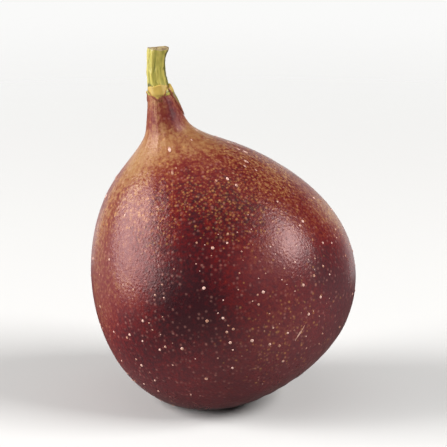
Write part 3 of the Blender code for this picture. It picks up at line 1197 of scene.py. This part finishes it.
def lenticel_tree():
    """Scatters flattened beads over a skin, half sunk in it and drawn out along it.

    It reads the skin's attributes: lenticel_share, from 0 to 1, for how close they stand, meridian
    for the way from neck to eye, and drawn_out for how many times longer than wide they are.
    """
    inputs = (
        ("Density", "Float", 60000.0),
        ("Spacing", "Float", 1.5 * MM),
        ("Smallest", "Float", 0.2 * MM),
        ("Largest", "Float", 0.6 * MM),
        ("Seed", "Int", LENTICEL_SEED),
        ("Material", "Material", None),
    )
    tree, given, add = new_geometry_tree("lenticels", inputs)
    share = add("GeometryNodeInputNamedAttribute", {"Name": "lenticel_share"})
    drawn_out = add("GeometryNodeInputNamedAttribute", {"Name": "drawn_out"})
    lengthwise = {"Name": "meridian"}
    meridian = add("GeometryNodeInputNamedAttribute", lengthwise, data_type="FLOAT_VECTOR")
    scattered = add(
        "GeometryNodeDistributePointsOnFaces",
        {
            "Mesh": given["Geometry"],
            "Distance Min": given["Spacing"],
            "Density Max": given["Density"],
            "Density Factor": share,
            "Seed": given["Seed"],
        },
        distribute_method="POISSON",
    )
    outwards = {"Vector": scattered.outputs["Normal"]}
    upright = add("FunctionNodeAlignRotationToVector", outwards, axis="Z")
    lengthways = add(
        "FunctionNodeAlignRotationToVector",
        {"Rotation": upright, "Vector": meridian},
        axis="Y",
        pivot_axis="Z",
    )
    chance = add("FunctionNodeRandomValue", {"Seed": given["Seed"]}, data_type="FLOAT")
    mostly_small = {0: chance.outputs[RANDOM_RESULT], 1: 1.8}
    small = add("ShaderNodeMath", mostly_small, operation="POWER")
    width = add(
        "ShaderNodeMapRange",
        {"Value": small, "To Min": given["Smallest"], "To Max": given["Largest"]},
    )
    length = add("ShaderNodeMath", {0: width, 1: drawn_out}, operation="MULTIPLY")
    height = add("ShaderNodeMath", {0: width, 1: LENTICEL_RISE}, operation="MULTIPLY")
    size = add("ShaderNodeCombineXYZ", {"X": width, "Y": length, "Z": height})
    bead = add("GeometryNodeMeshUVSphere", LENTICEL_BEAD)
    copies = add(
        "GeometryNodeInstanceOnPoints",
        {"Points": scattered, "Instance": bead, "Rotation": lengthways, "Scale": size},
    )
    finish_geometry_tree(add, copies, given["Material"])
    return tree


def cork_material(settings):
    """Corky tissue of lenticels and healed scratches: pale, dry and matt."""
    material, shader, add = new_material("fig_cork")
    spot = add("ShaderNodeTexCoord").outputs["Object"]
    unlike = add("ShaderNodeTexNoise", {"Vector": spot, "Scale": pattern_scale(1.5), "Detail": 1.0})
    stops = ((0.40, settings.dark), (0.60, settings.pale))
    colour = add("ShaderNodeValToRGB", {"Fac": unlike}, stops=stops)
    feed(shader, {"Base Color": colour, "Roughness": 0.75})
    return material


def mark_lenticels(mesh):
    """Keeps where on the skin lenticels stand, how close, which way and how long."""
    points = mesh_points(mesh)
    angles, distances = AXIS.places(points)
    off_floor = smoothstep(*LENTICELS_OFF_FLOOR, points[:, 2])
    near_neck = smoothstep(*LENTICELS_SPARSE, distances)
    body = smoothstep(*LENTICELS_START, distances) * (1.0 - 0.85 * near_neck)
    # They stand closest on the sunny side, low down, and lie sparsely near the neck and eye
    sunny = facing(angles, *SUNNY_SIDE) * bell((distances - SUNNY_AT) / SUNNY_REACH)
    write_attribute(mesh, "lenticel_share", off_floor * body * (0.35 + 0.65 * sunny))
    write_attribute(mesh, "drawn_out", 1.0 + 1.6 * smoothstep(*LENTICELS_LONG, distances))
    write_attribute(mesh, "meridian", AXIS.along[AXIS.nearest(distances)])


def scar_mesh(surface):
    """A thin ridge along the scratch, pointed at both ends."""
    (low_turn, low), (high_turn, high) = SCAR_ENDS

    def place(u, v, height):
        bulge = math.sin(math.pi * v)
        direction = low_turn + (high_turn - low_turn) * v + SCAR_BEND * bulge
        half = SCAR_WIDTH / 2.0 * (0.1 + 0.9 * bulge**0.6)
        return AXIS.beside([surface], direction, low + (high - low) * v, u * half, height)

    def outer(u, v):
        return place(u, v, SCAR_HEIGHT * (1.0 - u**2))

    def inner(u, v):
        return place(u, v, -SCAR_ROOT)

    return closed_sheet(*SCAR_GRID, outer, inner)


class FIG_OT_lenticels(Operator):
    """Scatters pale corky lenticels over the skin, and draws one healed scratch"""

    bl_idname = "fig.lenticels"
    bl_label = "Lenticels"

    def execute(self, context):
        settings = context.scene.fig_lenticels
        surface = surface_of("fig_skin")
        material = cork_material(settings)
        lenticels = new_object("fig_lenticels", bpy.data.objects["fig_skin"].data.copy())
        mark_lenticels(lenticels.data)
        values = {
            "Density": settings.density,
            "Spacing": settings.spacing,
            "Smallest": settings.smallest,
            "Largest": settings.largest,
            "Seed": LENTICEL_SEED,
            "Material": material,
        }
        grow(lenticels, lenticel_tree(), values)
        finish_piece(lenticels, "fig_skin")

        scar = object_from("fig_scar", scar_mesh(surface))
        scar.data.materials.append(material)
        finish_piece(scar, "fig_skin")
        return {"FINISHED"}


# ---------------------------------------------------------------- stage

# Soft lights: name, direction to it as azimuth and elevation in degrees, distance, width, height,
# roll in degrees, radiance. Azimuth 0 is on the camera's side, and 90 is on +X.
LIGHTS = (
    ("key_left", -81.5, 20.0, 1.2, 0.74, 1.12, 24.0, 12.0),
    ("key_right", 73.0, 37.5, 1.2, 0.44, 0.68, -78.0, 19.5),
    ("behind", 180.0, 2.0, 1.4, 2.2, 0.9, 0.0, 0.75),
    ("top", 0.0, 88.0, 1.3, 1.2, 1.2, 0.0, 0.7),
)

# The dim room that lights the fig from all round
ROOM = (0.07, 0.07, 0.072, 1.0)

# The round floor: its radius, the corners of its edge, and how far out it starts to thin and ends
FLOOR_RADIUS = 2.0
FLOOR_CORNERS = 64
FLOOR_FADE = (0.14, 0.5)


class FigStageSettings(PropertyGroup):
    elevation: FloatProperty(
        name="Camera height",
        description="How far the camera looks down on the fig",
        subtype="ANGLE",
        default=math.radians(14.5),
    )
    lens: FloatProperty(
        name="Lens", description="Focal length of the camera, in millimetres", default=200.0
    )
    fill: FloatProperty(
        name="Fill",
        description="Share of the picture's height that the fig takes",
        subtype="FACTOR",
        default=0.80,
        min=0.1,
        max=1.0,
    )
    floor: colour_property("Floor", "The pale table under the fig", "CFCECC")
    backdrop: colour_property("Backdrop", "What the camera sees past the floor", "FAFAF9")


def floor_material(settings):
    """Matt painted board, which gives an even pale ground with no gloss. It thins out far away."""
    material, shader, add = new_material("matt_painted_board")
    spot = add("ShaderNodeTexCoord").outputs["Object"]
    away = add("ShaderNodeVectorMath", {0: spot}, operation="LENGTH").outputs["Value"]
    near, far = FLOOR_FADE
    alpha = add(
        "ShaderNodeMapRange",
        {"Value": away, "From Min": near, "From Max": far, "To Min": 1.0, "To Max": 0.0},
        interpolation_type="SMOOTHSTEP",
    )
    feed(shader, {"Base Color": settings.floor, "Roughness": 0.9, "Alpha": alpha})
    return material


def light_stage(middle):
    """Stands the soft lights round a point, each turned to it."""
    for name, azimuth, elevation, distance, width, height, roll, radiance in LIGHTS:
        turn, rise = math.radians(azimuth), math.radians(elevation)
        level = math.cos(rise)
        out = Vector((math.sin(turn) * level, -math.cos(turn) * level, math.sin(rise)))
        light = bpy.data.lights.new(name, "AREA")
        light.shape = "RECTANGLE"
        light.size, light.size_y = width, height
        # A flat panel's power is pi times its radiance and its area
        light.energy = radiance * math.pi * width * height
        lamp = new_object(name, light)
        lamp.location = middle + out * distance
        facing_in = out.to_track_quat("Z", "Y")
        rolled = facing_in @ Quaternion((0.0, 0.0, 1.0), math.radians(roll))
        lamp.rotation_euler = rolled.to_euler()
        lamp.visible_camera = False


def studio_world(backdrop):
    """A world that the camera sees as a plain backdrop, and the fig as a dim room."""
    world = bpy.data.worlds.new("studio")
    world.use_nodes = True
    tree = world.node_tree
    seen = tree.nodes["Background"]
    feed(seen, {"Color": backdrop})
    room = add_node(tree, "ShaderNodeBackground", {"Color": ROOM})
    ray = add_node(tree, "ShaderNodeLightPath").outputs["Is Camera Ray"]
    both = add_node(tree, "ShaderNodeMixShader", {0: ray, 1: room, 2: seen})
    feed(tree.nodes["World Output"], {"Surface": both})
    return world


def stage_camera(settings, middle):
    """A camera that looks down on a point from the front, framed by the fig's height."""
    camera = bpy.data.cameras.new("camera")
    camera.lens = settings.lens
    shown = (CAD_BOX[1].z - CAD_BOX[0].z) / settings.fill
    away = shown * camera.lens / camera.sensor_width
    back = Vector((0.0, -math.cos(settings.elevation), math.sin(settings.elevation)))
    eye = new_object("camera", camera)
    eye.location = middle + back * away
    eye.rotation_euler = back.to_track_quat("Z", "Y").to_euler()
    return eye


class FIG_OT_stage(Operator):
    """Makes the pale floor, the soft lights, the surroundings and the camera"""

    bl_idname = "fig.stage"
    bl_label = "Stage"

    def execute(self, context):
        settings = context.scene.fig_stage
        bm = bmesh.new()
        bmesh.ops.create_circle(bm, cap_ends=True, segments=FLOOR_CORNERS, radius=FLOOR_RADIUS)
        floor = object_from("floor", bm)
        floor.data.materials.append(floor_material(settings))
        # A glossy piece mirrors the dim room, not the bright board
        floor.visible_glossy = False

        middle = (CAD_BOX[0] + CAD_BOX[1]) / 2.0
        light_stage(middle)
        context.scene.world = studio_world(settings.backdrop)
        context.scene.camera = stage_camera(settings, middle)
        context.scene.view_settings.view_transform = "Standard"
        return {"FINISHED"}


# ---------------------------------------------------------------- panel and registration


class FIG_PT_build(Panel):
    """Lists the fig's pieces and their settings"""

    bl_label = "Fresh fig"
    bl_space_type = "VIEW_3D"
    bl_region_type = "UI"
    bl_category = "Fig"

    def draw(self, context):
        for operator, group in zip(OPERATORS, SETTINGS):
            box = self.layout.box()
            box.operator(operator.bl_idname)
            settings = getattr(context.scene, group)
            for name in settings.bl_rna.properties.keys():
                if name not in ("rna_type", "name"):
                    box.prop(settings, name)


# The groups of settings and the operators, both in the order in which the pieces are made
SETTINGS = {
    "fig_skin": FigSkinSettings,
    "fig_stalk": FigStalkSettings,
    "fig_neck_scales": FigNeckScaleSettings,
    "fig_eye_scales": FigEyeScaleSettings,
    "fig_lenticels": FigLenticelSettings,
    "fig_stage": FigStageSettings,
}
OPERATORS = (
    FIG_OT_skin,
    FIG_OT_stalk,
    FIG_OT_neck_scales,
    FIG_OT_eye_scales,
    FIG_OT_lenticels,
    FIG_OT_stage,
)
CLASSES = (*SETTINGS.values(), *OPERATORS, FIG_PT_build)


def register():
    for cls in CLASSES:
        bpy.utils.register_class(cls)
    for name, group in SETTINGS.items():
        setattr(bpy.types.Scene, name, PointerProperty(type=group))


def unregister():
    for name in SETTINGS:
        delattr(bpy.types.Scene, name)
    for cls in reversed(CLASSES):
        bpy.utils.unregister_class(cls)


def main():
    """Makes the pieces in order."""
    register()
    for operator in OPERATORS:
        group, name = operator.bl_idname.split(".")
        getattr(getattr(bpy.ops, group), name)()


if __name__ == "__main__":
    main()
